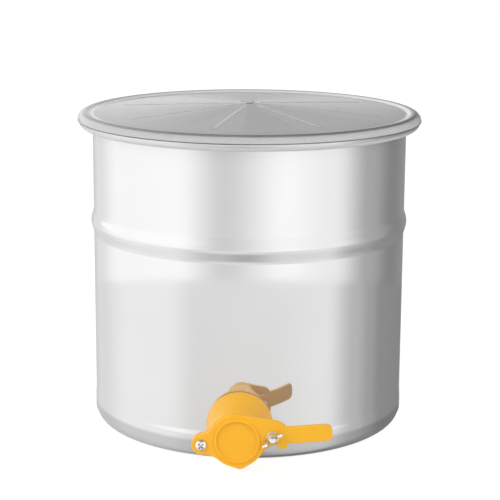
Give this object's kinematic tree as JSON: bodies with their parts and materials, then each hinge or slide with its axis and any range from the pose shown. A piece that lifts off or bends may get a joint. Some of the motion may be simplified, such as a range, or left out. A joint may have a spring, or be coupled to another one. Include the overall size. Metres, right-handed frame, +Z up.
{
  "type": "honey settling tank",
  "caption": "Round stainless tank with a curled rim and a pressed hoop, a ribbed translucent lid, and an orange plastic swing gate at the foot for drawing off settled honey.",
  "frame": {"origin": "middle of the underside of the tank, on the surface it stands on", "axes": "+Z up along the tank's axis, -Y from the tank's axis out through the valve, +X to the lever's side"},
  "size_m": [0.3939, 0.4472, 0.3697],
  "materials": {
    "steel": "polished stainless sheet, slightly blurred mirror",
    "lid_plastic": "translucent smooth moulding",
    "valve_plastic": "satin moulded plastic",
    "seal": "matte pale silicone",
    "zinc": "bright zinc plate"
  },
  "bodies": {
    "tank": {"tank_wall": "steel", "tank_base": "steel", "valve_body": "valve_plastic", "outer_gasket": "seal", "inner_gasket": "seal", "lock_nut": "valve_plastic", "pivot_screw": "zinc", "pivot_nut": "zinc", "clamp_screw": "zinc"},
    "lid": {"lid": "lid_plastic"},
    "gate": {"gate_blade": "valve_plastic"},
    "washer": {"clamp_washer": "zinc"},
    "wing": {"wing_nut": "zinc"}
  },
  "joints": [
    {"name": "lid_lift", "type": "slide", "parent": "tank", "child": "lid", "axis": [0, 0, 1], "range_m": [0, 0.1]},
    {"name": "gate_swing", "type": "hinge", "parent": "tank", "child": "gate", "pos_m": [-0.03763, -0.2325, 0.03821], "axis": [0, -1, 0], "range_deg": [0, 90]},
    {"name": "washer_slide", "type": "slide", "parent": "tank", "child": "washer", "axis": [0, -1, 0], "range_m": [0, 0.002]},
    {"name": "wing_turn", "type": "hinge", "parent": "washer", "child": "wing", "pos_m": [0.03763, -0.2325, 0.04879], "axis": [0, -1, 0], "range_deg": [0, 720]}
  ],
  "couplings": [
    {"joint": "washer_slide", "follows": "wing_turn", "m_per_rad": 0.00015915}
  ]
}
